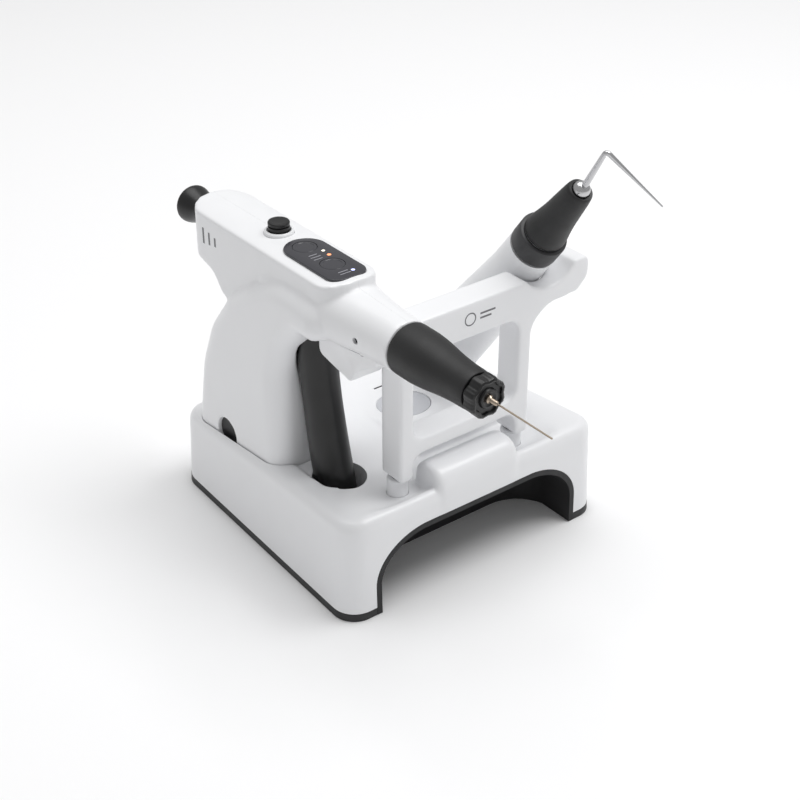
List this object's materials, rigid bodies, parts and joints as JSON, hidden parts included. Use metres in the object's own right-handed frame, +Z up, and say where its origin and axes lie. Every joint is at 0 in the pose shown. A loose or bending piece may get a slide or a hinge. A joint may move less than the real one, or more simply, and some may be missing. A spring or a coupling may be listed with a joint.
{
  "type": "cordless obturation set with charging base",
  "caption": "Backfill gun and heated-plugger pen for root-canal work, standing on a white charging base with a bridge-shaped rack.",
  "frame": {"origin": "middle of the base's underside, on the surface it stands on", "axes": "+X to the right as seen from the front, +Y to the back, +Z up; the needle points along -Y"},
  "size_m": [0.1222, 0.2052, 0.1635],
  "materials": {
    "white_shell": "satin moulded white",
    "grey_plastic": "fine satin grey",
    "black_plastic": "fine-grained black",
    "silicone": "matt charcoal silicone",
    "foot_rubber": "matt black rubber",
    "panel_film": "smoked gloss film",
    "steel": "fine-turned stainless",
    "brass": "bright turned brass",
    "circuit": "solder-mask green",
    "cell_wrap": "shrink-sleeve blue"
  },
  "bodies": {
    "base": {"base_shell": "white_shell", "bottom_cover": "black_plastic", "arch_liner": "black_plastic", "rubber_foot_front_left": "foot_rubber", "rubber_foot_front_right": "foot_rubber", "rubber_foot_back_right": "foot_rubber", "rubber_foot_back_left": "foot_rubber", "centre_disc": "grey_plastic", "status_light": "panel_film", "charge_board": "circuit", "ballast_plate": "steel", "dc_inlet": "black_plastic", "gun_charge_contact": "brass", "pen_charge_contact": "brass", "rack_frame": "white_shell", "rack_socket_left": "white_shell", "rack_peg_left": "steel", "rack_socket_right": "white_shell", "rack_peg_right": "steel"},
    "gun": {"gun_shell_left": "white_shell", "gun_shell_right": "white_shell", "front_grip": "black_plastic", "gun_battery": "cell_wrap", "gun_motor": "steel", "gun_board": "circuit", "gun_contact": "brass", "control_panel": "panel_film", "button_collar": "white_shell", "trigger_pin": "steel", "nose_cap": "silicone", "heater_barrel": "brass", "heater_sleeve": "white_shell"},
    "trigger": {"trigger": "white_shell"},
    "top_button": {"top_button": "black_plastic"},
    "rear_key": {"panel_key_rear": "panel_film"},
    "front_key": {"panel_key_front": "panel_film"},
    "plunger": {"plunger_knob": "black_plastic", "plunger_rod": "steel", "plunger_carriage": "brass", "piston_rod": "steel"},
    "pinion": {"drive_pinion": "brass"},
    "needle_fitting": {"needle_nut": "black_plastic", "needle": "brass"},
    "pen": {"pen_body": "white_shell", "pen_tail_cap": "white_shell", "pen_battery": "cell_wrap", "pen_board": "circuit", "pen_heater_core": "brass", "ring_hub": "grey_plastic", "pen_cone": "silicone", "tip_dome": "steel"},
    "ring_switch": {"switch_ring": "silicone"},
    "plugger": {"plugger_tip": "steel"}
  },
  "joints": [
    {"name": "gun_lift", "type": "slide", "parent": "base", "child": "gun", "axis": [0, 0, 1], "range_m": [0, 0.06]},
    {"name": "pen_lift", "type": "slide", "parent": "base", "child": "pen", "axis": [0, 0, 1], "range_m": [0, 0.06]},
    {"name": "trigger_pull", "type": "hinge", "parent": "gun", "child": "trigger", "pos_m": [-0.0382, -0.0505, 0.104], "axis": [1, 0, 0], "range_deg": [0, 8], "stiffness_Nm_per_rad": 0.4, "springref_deg": -5.73},
    {"name": "top_button_press", "type": "slide", "parent": "gun", "child": "top_button", "axis": [0, 0, -1], "range_m": [0, 0.0008], "stiffness_N_per_m": 800, "springref_m": -0.001},
    {"name": "rear_key_press", "type": "slide", "parent": "gun", "child": "rear_key", "axis": [0, 0, -1], "range_m": [0, 0.0003], "stiffness_N_per_m": 1200, "springref_m": -0.0005},
    {"name": "front_key_press", "type": "slide", "parent": "gun", "child": "front_key", "axis": [0, 0, -1], "range_m": [0, 0.0003], "stiffness_N_per_m": 1200, "springref_m": -0.0005},
    {"name": "plunger_pull", "type": "slide", "parent": "gun", "child": "plunger", "axis": [0, 1, 0], "range_m": [0, 0.04]},
    {"name": "pinion_spin", "type": "hinge", "parent": "gun", "child": "pinion", "pos_m": [-0.0382, 0.04, 0.1085], "axis": [1, 0, 0], "range_deg": [-790, 0]},
    {"name": "needle_turn", "type": "hinge", "parent": "gun", "child": "needle_fitting", "pos_m": [-0.0382, -0.104, 0.11], "axis": [0, -1, 0], "continuous": true},
    {"name": "ring_press", "type": "slide", "parent": "pen", "child": "ring_switch", "axis": [0, 0.6, -0.8], "range_m": [0, 0.0004], "stiffness_N_per_m": 1500, "springref_m": -0.0005},
    {"name": "plugger_turn", "type": "hinge", "parent": "pen", "child": "plugger", "pos_m": [0.038, -0.0475, 0.1226], "axis": [0, -0.6, 0.8], "continuous": true}
  ],
  "couplings": [
    {"joint": "pinion_spin", "follows": "plunger_pull", "rad_per_m": -338.98}
  ]
}
